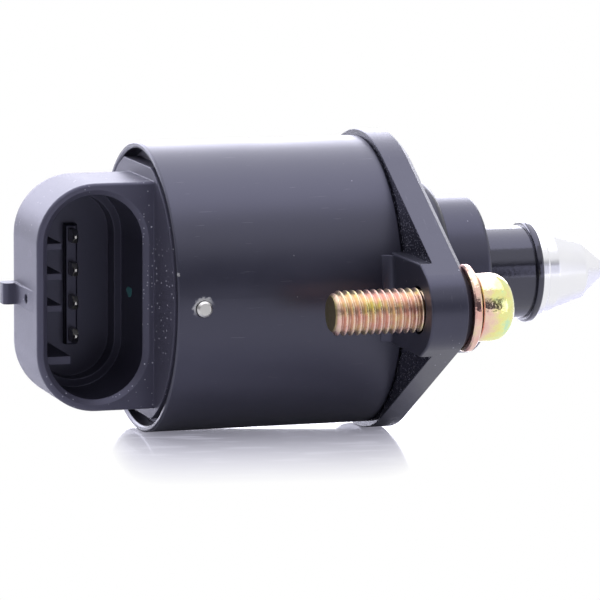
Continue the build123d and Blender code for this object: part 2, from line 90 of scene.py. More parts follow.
lens = bpy.data.cameras.new("camera")
lens.lens = lens.sensor_width * focal_length_in_pixels / picture_width
lens.clip_start = 0.01
lens.clip_end = 20
camera = bpy.data.objects.new("camera", lens)
camera.matrix_world = Matrix((right, up, back)).transposed().to_4x4()
camera.location = back * camera_distance - right * origin_right_of_middle - up * origin_above_middle
bpy.context.scene.collection.objects.link(camera)
bpy.context.scene.camera = camera
bpy.context.scene.view_settings.view_transform = "Standard"
print(f"camera {camera_distance:.3f} m away with a {lens.lens:.0f} mm lens")

# %% [markdown]
# ## Writing shaders as sums
# A shader is a net of nodes, and its maths is easier to read as a formula. `Wire` holds the output of
# a node and knows what plus, minus, times and so on mean: each adds one Math node. The reflected forms
# make `1 - mask` work as well as `mask - 1`. `Wiring` holds the net itself, and its method `node`
# adds any node: first its settings, then the values and links of its sockets.

# %% Wires and wiring
class Wire:
    """The output of a node, ready to be used in a sum."""

    def __init__(self, wiring, socket):
        self.wiring = wiring
        self.socket = socket

    def sum(self, operation, first, second):
        return self.wiring.node("ShaderNodeMath", {"operation": operation}, {0: first, 1: second})

    def __add__(self, other):
        return self.sum("ADD", self, other)

    def __radd__(self, other):
        return self.sum("ADD", other, self)

    def __sub__(self, other):
        return self.sum("SUBTRACT", self, other)

    def __rsub__(self, other):
        return self.sum("SUBTRACT", other, self)

    def __mul__(self, other):
        return self.sum("MULTIPLY", self, other)

    def __rmul__(self, other):
        return self.sum("MULTIPLY", other, self)

    def __truediv__(self, other):
        return self.sum("DIVIDE", self, other)

    def __rtruediv__(self, other):
        return self.sum("DIVIDE", other, self)

    def __pow__(self, other):
        return self.sum("POWER", self, other)

    def __rpow__(self, other):
        return self.sum("POWER", other, self)


class Wiring:
    """A net of shader nodes."""

    def __init__(self, tree):
        self.tree = tree
        tree.nodes.clear()

    def node(self, kind, settings=None, sockets=None, output=0):
        made = self.tree.nodes.new(kind)
        for name, value in (settings or {}).items():
            if name == "stops":
                self.set_stops(made.color_ramp, value)
            else:
                setattr(made, name, value)
        for key, value in (sockets or {}).items():
            socket = self.pick(made.inputs, key)
            if isinstance(value, Wire):
                self.tree.links.new(value.socket, socket)
            else:
                socket.default_value = value
        return Wire(self, self.pick(made.outputs, output)) if made.outputs else None

    @staticmethod
    def pick(sockets, key):
        usable = [socket for socket in sockets if socket.enabled]
        if isinstance(key, int):
            return usable[key]
        return next(socket for socket in usable if socket.name == key)

    @staticmethod
    def set_stops(ramp, stops):
        while len(ramp.elements) < len(stops):
            ramp.elements.new(1.0)
        for element, (place, colour) in zip(ramp.elements, stops):
            element.position = place
            element.color = colour


print("shader helpers ready")

# %% [markdown]
# ## Words for common nodes
# Most finishes use the same few ideas: a place on the piece in millimetres, clouds of noise, round
# specks, a soft step from 0 to 1, and a blend of two colours. Giving each a short function keeps the
# recipes below as plain as a list of ingredients.

# %% Common nodes
WHITE = (1.0, 1.0, 1.0, 1.0)


def place_on_piece(w):
    """Where a point lies on its piece, in millimetres."""
    place = w.node("ShaderNodeTexCoord", output="Object")
    return w.node("ShaderNodeVectorMath", {"operation": "SCALE"}, {0: place, "Scale": 1 / MM})


def split(w, place):
    """A place as its three numbers."""
    return [w.node("ShaderNodeSeparateXYZ", sockets={0: place}, output=axis) for axis in "XYZ"]


def stretched(w, place, scale):
    """The place with each direction scaled by itself, to draw a pattern out into lines."""
    return w.node("ShaderNodeVectorMath", {"operation": "MULTIPLY"}, {0: place, 1: scale})


def noise(w, place, per_mm, detail=3.0, roughness=0.5):
    """Clouds with so many lumps in a millimetre."""
    return w.node("ShaderNodeTexNoise", {"normalize": True},
                  {"Vector": place, "Scale": per_mm, "Detail": detail, "Roughness": roughness})


def step(w, value, low, high):
    """0 below low, 1 above high and a smooth rise between them."""
    return w.node("ShaderNodeMapRange", {"interpolation_type": "SMOOTHSTEP"},
                  {"Value": value, "From Min": low, "From Max": high})


def fall(w, value, low, high):
    """1 below low, 0 above high and a smooth fall between them."""
    return 1 - step(w, value, low, high)


def specks(w, place, spacing, radius, share):
    """Round specks, one in each cell of a given spacing but only in a share of the cells."""
    sockets = {"Vector": place, "Scale": 1 / spacing}
    from_middle = w.node("ShaderNodeTexVoronoi", {"feature": "F1"}, sockets, output="Distance")
    chance = w.node("ShaderNodeTexVoronoi", {"feature": "F1"}, sockets, output="Color")
    chosen = step(w, w.node("ShaderNodeSeparateColor", sockets={0: chance}), 1 - share, 1 - share + 0.02)
    return chosen * fall(w, from_middle, 0.6 * radius / spacing, radius / spacing)


def distance(w, place, point):
    """How far a place is from a point, in millimetres."""
    return w.node("ShaderNodeVectorMath", {"operation": "DISTANCE"}, {0: place, 1: point}, output="Value")


def blend(w, share, first, second):
    """The first colour where share is 0, and the second where it is 1."""
    return w.node("ShaderNodeMix", {"data_type": "RGBA"}, {"Factor": share, "A": first, "B": second})


def dot(w, first, second):
    """The dot product of two directions."""
    return w.node("ShaderNodeVectorMath", {"operation": "DOT_PRODUCT"}, {0: first, 1: second},
                  output="Value")


def facing(w, direction):
    """How squarely the surface faces a direction: 1 straight at it, -1 away from it."""
    normal = w.node("ShaderNodeNewGeometry", output="Normal")
    return dot(w, normal, direction)


def soft_edges(w, radius):
    """The surface's direction with its sharp edges rounded over by a radius in millimetres."""
    return w.node("ShaderNodeBevel", {"samples": 6}, {"Radius": radius * MM})


def relief(w, height, depth, normal):
    """A shallow relief: height runs from 0 to 1, and depth is in millimetres."""
    return w.node("ShaderNodeBump", sockets={"Strength": 1.0, "Distance": depth * MM, "Height": height,
                                             "Normal": normal})


def new_finish(name):
    """An empty material and its wiring."""
    material = bpy.data.materials.new(f"{name}_finish")
    material.use_nodes = True
    return material, Wiring(material.node_tree)


def surface(w, **sockets):
    """The shader of a finish, with words such as base_color standing for the socket Base Color."""
    names = {"ior_level": "Specular IOR Level"}
    named = {names.get(key, key.replace("_", " ").title()): value for key, value in sockets.items()}
    shader = w.node("ShaderNodeBsdfPrincipled", sockets=named)
    w.node("ShaderNodeOutputMaterial", sockets={"Surface": shader})


print("common nodes ready")

# %% [markdown]
# ## The white room
# The photograph is lit by big soft lights in a white room that is dark only behind the camera. The
# world gives that room: plain white where the camera looks, white with one dark band in reflections,
# and a dimmer grey for the light it sheds. That dark band is what draws the dark stripe along the can
# and the sleeve.

# %% World
def ray_is(w, *kinds):
    """1 for rays of the named kinds, such as those from the camera, and 0 for all others."""
    found = sum(w.node("ShaderNodeLightPath", output=f"Is {kind} Ray") for kind in kinds)
    return step(w, found, 0.0, 1.0)


world = bpy.data.worlds.new("white_room")
bpy.context.scene.world = world
world.use_nodes = True
w = Wiring(world.node_tree)
way = w.node("ShaderNodeTexCoord", output="Generated")
height = w.node("ShaderNodeSeparateXYZ", sockets={0: way}, output="Z")
viewer_side = Vector((back.x, back.y, 0)).normalized()
frontness = dot(w, way, viewer_side)
dark_side = step(w, frontness, 0.1, 0.6) * step(w, height, -0.16, -0.06) * fall(w, height, 0.36, 0.62)
mirrored = blend(w, dark_side, WHITE, (0.10, 0.10, 0.12, 1.0))
shed = (0.39, 0.39, 0.47, 1.0)
room = blend(w, ray_is(w, "Glossy", "Transmission"), shed, mirrored)
room = blend(w, ray_is(w, "Camera"), room, WHITE)
background = w.node("ShaderNodeBackground", sockets={"Color": room})
w.node("ShaderNodeOutputWorld", sockets={"Surface": background})
print("world: white room with a dark side towards", tuple(round(v, 2) for v in viewer_side))

# %% [markdown]
# ## Three soft lights
# A wide soft box hangs overhead and makes the bright upper half of every round piece. A second one
# stands behind the valve and draws the bright rims along its upper edges. A small card beside the nose
# whitens the pintle. In a reflection an area lamp is a rectangle that adds its brightness to the room
# behind it, so each is given by that brightness, and the power follows from its area. The light is a
# little cold, as it is in the photograph.

# %% Lights
def soft_box(name, place, width, length, brightness):
    """A rectangular lamp that looks at the valve and doesn't show to the camera."""
    lamp = bpy.data.lights.new(name, "AREA")
    lamp.shape = "RECTANGLE"
    lamp.size = width
    lamp.size_y = length
    lamp.energy = brightness * math.pi * width * length
    lamp.color = (0.87, 0.87, 1.0)
    stand = bpy.data.objects.new(name, lamp)
    stand.location = place
    stand.rotation_euler = Vector(place).to_track_quat("Z", "Y").to_euler()
    stand.visible_camera = False
    bpy.context.scene.collection.objects.link(stand)
    print(f"{name}: {lamp.energy:.2f} W over {width:.2f} x {length:.2f} m")


soft_box("overhead_box", (-0.02, 0.06, 0.40), 0.70, 0.60, 1.25)
soft_box("rear_box", (-0.03, 0.62, 0.235), 1.17, 0.36, 4.4)
soft_box("nose_card", (0.099, -0.115, 0.02), 0.09, 0.07, 1.1)

# %% [markdown]
# ## A floor that fades to white
# The valve lies on the can's rear rim and on the flange, so the floor leans by a degree and a half to
# touch both. Close to the valve it is a glossy white sheet that takes its shadow and its mirror image.
# Further out, what the camera sees of it turns into pure white, so that no horizon shows. Near the valve
# that white is lavender, a painted tint on the shadow and mirror image, and faint streaks of painted sheen
# stand for scratches in the sheet.

# %% Floor
can_low, can_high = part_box("motor_can")
flange_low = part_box("flange_housing")[0]
rest_length = can_high.x - can_low.x
rest_lean = math.atan2(can_low.z - flange_low.z, rest_length)
floor_size = 4.0

sheet = bpy.data.meshes.new("floor")
net = bmesh.new()
bmesh.ops.create_grid(net, x_segments=1, y_segments=1, size=floor_size / 2)
net.to_mesh(sheet)
net.free()
floor = bpy.data.objects.new("floor", sheet)
floor.location = (can_high.x, 0, flange_low.z)
floor.rotation_euler = (0, rest_lean, 0)
bpy.context.scene.collection.objects.link(floor)

material, w = new_finish("floor_white")
place = place_on_piece(w)
x, y = split(w, place)[:2]
skew = 0.32
middle = -10.0
half_length = 20.0
half_width = 34.0
lengthwise = (x - skew * y - middle) / half_length
outward = lengthwise ** 8 + (y * y) ** 0.5 / half_width
fade = w.node("ShaderNodeMath", {"operation": "MINIMUM"}, {0: outward, 1: 1.0})
# Painted sheen: streaks of scratches in the sheet add to the floor's white glow near the valve.
rubbed_sheen = step(w, noise(w, stretched(w, place, (0.12, 0.5, 1.0)), 1.0, detail=4.0), 0.52, 0.66)
white_seen = ray_is(w, "Camera") * (0.16 + 0.84 * fade + 0.16 * rubbed_sheen * (1 - fade))
in_front = fall(w, y, -4.0, 4.0)
beside_nose = step(w, x, 4.0, 20.0)
white_mirrored = ray_is(w, "Glossy", "Transmission") * in_front * (0.65 + 0.35 * beside_nose) * fade ** 2
sheen = noise(w, place, 0.02)
gloss = w.node("ShaderNodeBsdfPrincipled", sockets={"Base Color": (0.86, 0.86, 0.88, 1.0),
                                                   "Roughness": 0.06 + 0.06 * sheen,
                                                   "Specular IOR Level": 0.9})
# Painted tint: near the valve the glow is lavender, which colours the shadow and mirror image there.
glow = w.node("ShaderNodeEmission", sockets={"Color": blend(w, fade, (0.82, 0.81, 1.0, 1.0), WHITE)})
mixed = w.node("ShaderNodeMixShader", sockets={0: white_seen + white_mirrored, 1: gloss, 2: glow})
w.node("ShaderNodeOutputMaterial", sockets={"Surface": mixed})
sheet.materials.append(material)
print(f"floor leans {math.degrees(rest_lean):.2f} degrees")

# %% [markdown]
# ## Black paint on the can
# The can is a drawn steel tube with a thin coat of satin black paint. It isn't perfectly even: faint
# clouds of gloss, a fine grain, a little dust and a few hairline scratches. At one place on the rear rim
# the paint is chipped down to the steel, and above the locking pin the tool that pressed it in has scraped
# some off. Each of these is a mask between 0 and 1. The colour, the metalness and the relief all read
# the chip and the scrape, so that a chip is bare, shiny and sunk at once.

# %% Can paint
COLD_GLOSS = (0.72, 0.72, 1.0, 1.0)


def can_paint():
    material, w = new_finish("can_paint")
    place = place_on_piece(w)
    x, y, z = split(w, place)
    chip_place = (can_low.x / MM, -16.1, 3.6)
    pin_low, pin_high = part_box("locking_pin_near")
    pin_place = ((pin_low.x + pin_high.x) / 2 / MM, can_low.y / MM, (pin_low.z + pin_high.z) / 2 / MM)
    clouds = noise(w, place, 0.22)
    grain = noise(w, place, 7.0, detail=2.0)
    dust = specks(w, place, 2.6, 0.11, 0.3)
    hairline = step(w, noise(w, stretched(w, place, (0.35, 5.0, 5.0)), 1.0, detail=5.0), 0.69, 0.73)
    ragged = noise(w, place, 2.5, detail=4.0)
    chip = fall(w, distance(w, place, chip_place) + 0.5 * ragged, 0.45, 0.55)
    from_pin = distance(w, place, pin_place)
    above_left = step(w, (z - pin_place[2]) - 0.6 * (x - pin_place[0]), -0.5, 0.9)
    scraped = above_left * fall(w, from_pin + 0.9 * ragged, 1.55, 1.85)
    bare = chip + scraped - chip * scraped
    black = blend(w, clouds, (0.012, 0.012, 0.019, 1.0), (0.021, 0.021, 0.031, 1.0))
    black = blend(w, 0.35 * hairline, black, (0.16, 0.16, 0.18, 1.0))
    black = blend(w, 0.8 * dust, black, (0.42, 0.42, 0.46, 1.0))
    colour = blend(w, bare, black, (0.52, 0.52, 0.54, 1.0))
    normal = relief(w, grain + 0.4 * hairline - 2 * bare, 0.004, soft_edges(w, 0.15))
    surface(w, base_color=colour, roughness=0.30 + 0.12 * clouds + 0.25 * dust, metallic=bare,
            ior_level=1.0, specular_tint=COLD_GLOSS, coat_weight=0.2, coat_roughness=0.30, normal=normal)
    return material


finishes = {"can_paint": can_paint()}
print("painted:", list(finishes))

# %% [markdown]
# ## Black moulded plastic
# The flange and the socket are moulded in glass-filled nylon. Its skin is satin, with the fine grain of a
# spark-eroded mould, and the thin web behind the flange came out with a pepper of glass ends. The web's
# rear face is also darkened as painted shade. Lint gathers in patches and next to the can's rim, with a
# few larger crumbs beside the socket. Inside the socket the mould was polished, so the plastic is smoother
# there, and its colour is darkened as painted shade in that deep recess. The socket's moulding is a
# lighter black than the flange's, as painted light for flare. One function makes both mouldings, and
# the two differ in how much of each they show.

# %% Moulded plastic
def in_socket(w, place):
    """1 inside the round-ended socket and 0 outside it."""
    x, y, z = place
    past_straight = (z * z) ** 0.5 - socket_straight_half
    past_straight = w.node("ShaderNodeMath", {"operation": "MAXIMUM"}, {0: past_straight, 1: 0.0})
    from_middle = ((x - socket_x) ** 2 + past_straight ** 2) ** 0.5
    behind_mouth = step(w, y, polish_and_shade_from_y, polish_and_shade_from_y + 0.2)
    return fall(w, from_middle, socket_radius + 0.05, socket_radius + 0.25) * behind_mouth


def moulding(name, dark, light, roughness, lint_share, has_socket):
    """Glass-filled plastic between two shades of black."""
    material, w = new_finish(name)
    place = place_on_piece(w)
    x, y, z = split(w, place)
    clouds = noise(w, place, 0.3)
    grain = noise(w, place, 5.0, detail=4.0, roughness=0.6)
    scuffs = step(w, noise(w, stretched(w, place, (3.2, 0.5, 0.5)), 1.0, detail=5.0), 0.66, 0.74)
    inside = has_socket * in_socket(w, (x, y, z))
    peppered_shaded_web = step(w, facing(w, (-1, 0, 0)), 0.85, 0.95) * step(w, x, web_x - 0.4, web_x - 0.2)
    pepper = peppered_shaded_web * specks(w, place, 0.25, 0.09, 0.45)
    dusty = 0.6 * step(w, x, rim_x - 2.2, rim_x - 1.2) * fall(w, x, rim_x - 0.25, rim_x - 0.15)
    dusty = dusty + step(w, noise(w, place, 0.25, detail=2.0), 0.56, 0.66)
    lint = (1 - inside) * specks(w, place, 0.45, 0.11, lint_share) * dusty
    beside_rim = step(w, x, rim_x - 0.25, rim_x - 0.15)
    ledge = has_socket * beside_rim * fall(w, y, -7.5, -6.5) * fall(w, z * z, 12.0, 60.0)
    crumbs = ledge * specks(w, stretched(w, place, (1.0, 0.7, 1.0)), 0.5, 0.13, 0.22)
    lint = lint + crumbs - lint * crumbs
    black = blend(w, clouds, dark, light)
    black = blend(w, 0.18 * scuffs, black, (0.20, 0.20, 0.22, 1.0))
    # Painted shade: deep inside the socket the black is darkened further.
    black = blend(w, 0.9 * inside, black, (0.012, 0.011, 0.019, 1.0))
    # Painted shade: the web's rear face, picked by the way it faces, is darkened towards black.
    black = blend(w, 0.8 * peppered_shaded_web, black, (0.006, 0.006, 0.009, 1.0))
    colour = blend(w, 0.55 * pepper, black, (0.40, 0.40, 0.46, 1.0))
    colour = blend(w, 0.8 * lint, colour, (0.62, 0.62, 0.66, 1.0))
    normal = relief(w, 0.7 * grain + 0.4 * clouds + pepper + lint, 0.010, soft_edges(w, 0.18))
    rough = roughness + 0.14 * grain - 0.05 * scuffs + 0.2 * lint - 0.12 * inside - 0.15 * peppered_shaded_web
    surface(w, base_color=colour, roughness=rough, ior_level=0.95, specular_tint=COLD_GLOSS, normal=normal)
    return material


rim_x = can_low.x / MM
web_x = can_high.x / MM
socket_radius = 5.5
socket_straight_half = 6.05
polish_and_shade_from_y = -6.5
terminal_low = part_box("terminal_1")[0]
half_blade = 0.32
socket_x = terminal_low.x / MM + half_blade
moulded = {
    "housing_black": ((0.020, 0.020, 0.028, 1.0), (0.031, 0.031, 0.041, 1.0), 0.28, 0.10, 0.0),
    # The connector's black is lighter than the flange's, as painted light standing in for flare.
    "connector_black": ((0.054, 0.052, 0.071, 1.0), (0.070, 0.068, 0.091, 1.0), 0.40, 0.45, 1.0),
}
for slot, recipe in moulded.items():
    finishes[slot] = moulding(slot, *recipe)
print("moulded:", ", ".join(moulded))

# %% [markdown]
# ## Glossy sleeve and rubber ring
# The sleeve that slides in the nose is polished, so it mirrors the room almost sharply. Only a slight
# grain, fine rubbing marks along its length and a little grease break the gloss. The sealing ring is soft
# rubber with a fine grain and a faint bloom.

# %% Sleeve and rubber
def sleeve_black():
    material, w = new_finish("sleeve_black")
    place = place_on_piece(w)
    smear = noise(w, place, 0.5, detail=4.0)
    rubbed_sheen = noise(w, stretched(w, place, (0.3, 8.0, 8.0)), 1.0, detail=4.0)
    colour = blend(w, smear, (0.010, 0.010, 0.012, 1.0), (0.018, 0.018, 0.022, 1.0))
    grain = noise(w, place, 2.6, detail=4.0)
    normal = relief(w, grain + 0.2 * rubbed_sheen, 0.012, soft_edges(w, 0.12))
    surface(w, base_color=colour, roughness=0.09 + 0.09 * smear, ior_level=0.90,
            specular_tint=COLD_GLOSS, coat_weight=0.4, coat_roughness=0.08, normal=normal)
    return material


def seal_rubber():
    material, w = new_finish("seal_rubber")
    place = place_on_piece(w)
    bloom = noise(w, place, 1.1, detail=5.0, roughness=0.6)
    grain = noise(w, place, 12.0, detail=3.0)
    colour = blend(w, bloom, (0.007, 0.007, 0.009, 1.0), (0.018, 0.018, 0.022, 1.0))
    normal = relief(w, grain, 0.008, w.node("ShaderNodeNewGeometry", output="Normal"))
    surface(w, base_color=colour, roughness=0.20 + 0.2 * bloom, ior_level=0.7, specular_tint=COLD_GLOSS,
            normal=normal)
    return material


finishes["sleeve_black"] = sleeve_black()
finishes["seal_rubber"] = seal_rubber()
print("added sleeve and rubber")

# %% [markdown]
# ## Turned metal
# The pintle, the pins, the bearing, the bush and the lead screw are all turned on a lathe. The tool
# leaves fine rings round the axis, so the relief is noise drawn out round that axis: it varies along X
# and hardly at all around. Colour and roughness wander a little, as they do on metal that was handled.
# The spring, the stator and the terminals take the same recipe, with their own colours and depths.

# %% Turned metal
def turned_metal(name, colour, shade, roughness, ring_depth, rings_per_mm, edge=0.12):
    """Lathe-turned metal between two colours, with tool rings of a given depth."""
    material, w = new_finish(name)
    place = place_on_piece(w)
    handled = noise(w, place, 0.6, detail=4.0)
    rings = noise(w, stretched(w, place, (rings_per_mm, 0.05, 0.05)), 1.0, detail=3.0)
    specked = specks(w, place, 1.1, 0.07, 0.2)
    metal = blend(w, handled, colour, shade)
    metal = blend(w, 0.5 * specked, metal, (0.20, 0.19, 0.18, 1.0))
    normal = relief(w, rings, ring_depth, soft_edges(w, edge))
    rough = roughness + 0.10 * handled + 0.06 * rings
    surface(w, base_color=metal, metallic=1.0, roughness=rough, normal=normal)
    return material


turned = {
    "pintle_aluminium": ((0.88, 0.88, 0.91, 1.0), (0.82, 0.82, 0.86, 1.0), 0.16, 0.002, 7.0),
    "pin_steel": ((0.72, 0.71, 0.69, 1.0), (0.58, 0.57, 0.56, 1.0), 0.26, 0.004, 4.0),
    "bearing_steel": ((0.62, 0.62, 0.64, 1.0), (0.54, 0.54, 0.56, 1.0), 0.12, 0.001, 9.0),
    "screw_steel": ((0.45, 0.45, 0.46, 1.0), (0.34, 0.34, 0.35, 1.0), 0.28, 0.003, 6.0),
    "bush_bronze": ((0.62, 0.40, 0.20, 1.0), (0.48, 0.29, 0.14, 1.0), 0.36, 0.005, 5.0),
    "cage_brass": ((0.76, 0.58, 0.27, 1.0), (0.63, 0.46, 0.19, 1.0), 0.26, 0.003, 5.0),
    "spring_steel": ((0.48, 0.48, 0.50, 1.0), (0.36, 0.36, 0.38, 1.0), 0.24, 0.002, 5.0),
    "stator_steel": ((0.50, 0.50, 0.50, 1.0), (0.38, 0.38, 0.38, 1.0), 0.34, 0.004, 3.0),
    "terminal_tin": ((0.78, 0.77, 0.74, 1.0), (0.64, 0.63, 0.60, 1.0), 0.22, 0.002, 4.0),
}
for slot, recipe in turned.items():
    finishes[slot] = turned_metal(slot, *recipe)
print("turned:", ", ".join(turned))

# %% [markdown]
# ## Yellow zinc on the screws
# The screws and washers are zinc plated and then dipped in yellow chromate. The film is so thin that
# it shows rainbow colours: pink where it is thinnest, then gold, yellow, pale green. Clouds of noise stand
# for the film's thickness and a ramp turns thickness into colour. The threaded end drained thin and is
# pinkish gold, and over the head the film grows thicker towards the front. Roots of threads hold grime.
# The narrow gap between the head and its washer is darkened as painted shade.

# %% Yellow zinc
FILM_COLOURS = [
    (0.16, (0.78, 0.45, 0.40, 1.0)),
    (0.30, (0.82, 0.57, 0.48, 1.0)),
    (0.42, (0.84, 0.67, 0.44, 1.0)),
    (0.54, (0.84, 0.79, 0.32, 1.0)),
    (0.64, (0.79, 0.84, 0.38, 1.0)),
    (0.74, (0.56, 0.80, 0.52, 1.0)),
    (0.84, (0.48, 0.76, 0.68, 1.0)),
]


def yellow_zinc(name, thickness, head_gain, root_radius):
    """Chromate film on a piece that lies along X: how thick it is, and how much thicker at a head's front."""
    material, w = new_finish(name)
    place = place_on_piece(w)
    x, y, z = split(w, place)
    tip, front = screw_low.x / MM, screw_high.x / MM
    film = thickness + step(w, x, head_rear, 0.75 * front) * (head_gain - 0.03 * z)
    film = film + 0.60 * (noise(w, place, 0.42, detail=1.0) - 0.5)
    film = film + 0.40 * (noise(w, place, 1.5, detail=4.0) - 0.5)
    colour = w.node("ShaderNodeValToRGB", {"stops": FILM_COLOURS}, {0: film})
    radius = (y * y + z * z) ** 0.5
    grime = fall(w, radius, root_radius, root_radius + 0.35) * noise(w, place, 2.5, detail=3.0)
    end = fall(w, x, tip + 0.05, tip + 0.25)
    colour = blend(w, 0.5 * grime, colour, (0.30, 0.16, 0.12, 1.0))
    colour = blend(w, 0.8 * end, colour, (0.26, 0.23, 0.09, 1.0))
    # Painted shade: the gap between the head and its washer is darkened to near black.
    gap_shade = step(w, x, head_rear, head_rear + 0.1) * fall(w, x, groove_end, groove_end + 0.04)
    gap_shade = gap_shade * fall(w, radius, 3.3, 3.6)
    colour = blend(w, 0.9 * gap_shade, colour, (0.05, 0.04, 0.03, 1.0))
    pits = noise(w, place, 6.0, detail=4.0)
    dents = noise(w, place, 1.9, detail=2.0)
    normal = relief(w, dents + 0.10 * pits, 0.045, soft_edges(w, 0.10))
    rough = 0.07 + 0.08 * pits + 0.20 * grime + 0.17 * fall(w, x, -0.5, 0.0)
    surface(w, base_color=colour, metallic=1.0, roughness=rough, normal=normal)
    return material


screw_low, screw_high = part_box("mounting_screw_near")
head_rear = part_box("screw_washer_near")[1].x / MM
groove_width = 0.52
groove_end = head_rear + groove_width
finishes["screw_zinc"] = yellow_zinc("screw_zinc", 0.34, 0.26, 2.0)
finishes["washer_zinc"] = yellow_zinc("washer_zinc", 0.30, 0.0, 0.0)
print("plated: screws and washers")

# %% [markdown]
# ## The motor's inner pieces
# Nobody sees them while the valve is closed, but it comes apart on the bench: a plastic hub in a black
# ceramic magnet, two white bobbins, and windings of fine enamelled wire. The wire is drawn by a relief of
# even ridges round the axis, each as wide as the wire, which costs far less than thousands of turns.
# Between the ridges the wire's colour is darkened as painted shade.

# %% Motor finishes
def plain_plastic(name, dark, light, roughness):
    """Moulded plastic with faint flow clouds and a fine grain."""
    material, w = new_finish(name)
    place = place_on_piece(w)
    flow = noise(w, place, 0.4, detail=4.0)
    grain = noise(w, place, 6.0)
    colour = blend(w, flow, dark, light)
    normal = relief(w, grain, 0.004, soft_edges(w, 0.1))
    surface(w, base_color=colour, roughness=roughness + 0.15 * grain, normal=normal)
    return material


def magnet_dark():
    material, w = new_finish("magnet_dark")
    place = place_on_piece(w)
    grain = noise(w, place, 9.0, detail=5.0, roughness=0.65)
    pores = specks(w, place, 0.5, 0.07, 0.3)
    colour = blend(w, grain, (0.030, 0.030, 0.033, 1.0), (0.075, 0.073, 0.075, 1.0))
    colour = blend(w, pores, colour, (0.012, 0.012, 0.012, 1.0))
    normal = relief(w, grain - pores, 0.008, soft_edges(w, 0.1))
    surface(w, base_color=colour, roughness=0.5 + 0.2 * grain, normal=normal)
    return material


def copper_wire():
    material, w = new_finish("copper_wire")
    place = place_on_piece(w)
    x = split(w, place)[0]
    turns_per_mm = 5.0
    wave = w.node("ShaderNodeMath", {"operation": "SINE"}, {0: x * (2 * math.pi * turns_per_mm)})
    ridge = 0.5 + 0.5 * wave
    tone = noise(w, stretched(w, place, (turns_per_mm, 0.3, 0.3)), 1.0)
    colour = blend(w, tone, (0.50, 0.18, 0.07, 1.0), (0.72, 0.31, 0.13, 1.0))
    # Painted shade: the colour darkens between the ridges, in the creases between turns.
    colour = blend(w, 0.6 * (1 - ridge), colour, (0.12, 0.04, 0.02, 1.0))
    normal = relief(w, ridge, 0.05, soft_edges(w, 0.1))
    surface(w, base_color=colour, metallic=0.9, roughness=0.24 + 0.1 * tone, normal=normal)
    return material


plain = {
    "hub_plastic": ((0.34, 0.30, 0.24, 1.0), (0.44, 0.40, 0.33, 1.0), 0.40),
    "bobbin_white": ((0.66, 0.64, 0.58, 1.0), (0.74, 0.72, 0.67, 1.0), 0.38),
}
for slot, recipe in plain.items():
    finishes[slot] = plain_plastic(slot, *recipe)
finishes["magnet_dark"] = magnet_dark()
finishes["copper_wire"] = copper_wire()
print(len(finishes), "finishes")

# %% [markdown]
# ## Dressing the solids
# Each solid came in with a plain material that is named after its finish, so dressing it is a matter of
# looking up that name. The solids keep their shape and place.

# %% Dress the solids
for piece in nodes.values():
    for slot in piece.material_slots:
        slot.material = finishes[slot.material.name]
print(f"dressed {len(nodes)} solids")

# %% [markdown]
# ## Screws with a real thread
# A thread is a ridge that winds round a rod. The points are laid in rows that follow the winding, so the
# crest is one clean line of edges: going once round, each row ends one pitch further along, where it meets
# a later row. Both ends are cut off square by holding the points at the rod's ends, and the points that
# then coincide are merged. A cosine makes a good thread: its steepest slope is close to sixty degrees.

# %% Thread
def thread(net, start, end, pitch, around, radius_at):
    """A threaded skin along X; radius_at(x, ridge) has ridge from -1 in a root to 1 on a crest."""
    in_pitch = 16
    rows = math.ceil(((end - start) / pitch + 2) * in_pitch) + 1
    points = []
    for row in range(rows):
        ridge = math.cos(math.tau * (row + 0.5) / in_pitch)
        for turn in range(around):
            angle = math.tau * turn / around
            x = start + pitch * (row / in_pitch - 1 + turn / around)
            x = min(max(x, start), end)
            r = radius_at(x, ridge)
            points.append(net.verts.new((x, r * math.cos(angle), r * math.sin(angle))))
    for row in range(rows - 1):
        for turn in range(around):
            here = row * around + turn
            beside = here + 1 if turn < around - 1 else (row + in_pitch) * around
            if beside + around < len(points):
                net.faces.new((points[here], points[beside], points[beside + around], points[here + around]))


def lathe(net, profile, around):
    """A turned skin through (x, radius) pairs in millimetres."""
    rings = []
    for x, r in profile:
        angles = [math.tau * turn / around for turn in range(around)]
        rings.append([net.verts.new((x, r * math.cos(a), r * math.sin(a))) for a in angles])
    for low, high in zip(rings, rings[1:]):
        for turn in range(around):
            after = (turn + 1) % around
            net.faces.new((low[turn], low[after], high[after], high[turn]))


def shaped(net, name, sharp_angle=42):
    """The finished mesh in metres: doubles merged, faces outward, smooth but for its sharp edges."""
    bmesh.ops.remove_doubles(net, verts=net.verts, dist=1e-4)
    bmesh.ops.recalc_face_normals(net, faces=net.faces)
    for face in net.faces:
        face.smooth = True
    for edge in net.edges:
        edge.smooth = edge.calc_face_angle(0) < math.radians(sharp_angle)
    bmesh.ops.scale(net, vec=(MM, MM, MM), verts=net.verts)
    mesh = bpy.data.meshes.new(name)
    net.to_mesh(mesh)
    net.free()
    return mesh


def place_piece(name, mesh, place=(0, 0, 0)):
    piece = bpy.data.objects.new(name, mesh)
    piece.location = place
    bpy.context.scene.collection.objects.link(piece)
    return piece


print("thread tools ready")

# %% [markdown]
# ## The two mounting screws
# Each is a screw of five millimetres with a pitch of 0.8, a thin neck in the ear and a round cheese head
# with a cross recess. The recess is cut by two tapered bars, as the punch that forms it has tapered wings.
# A narrow groove under the head stands for the dark gap above the washer.

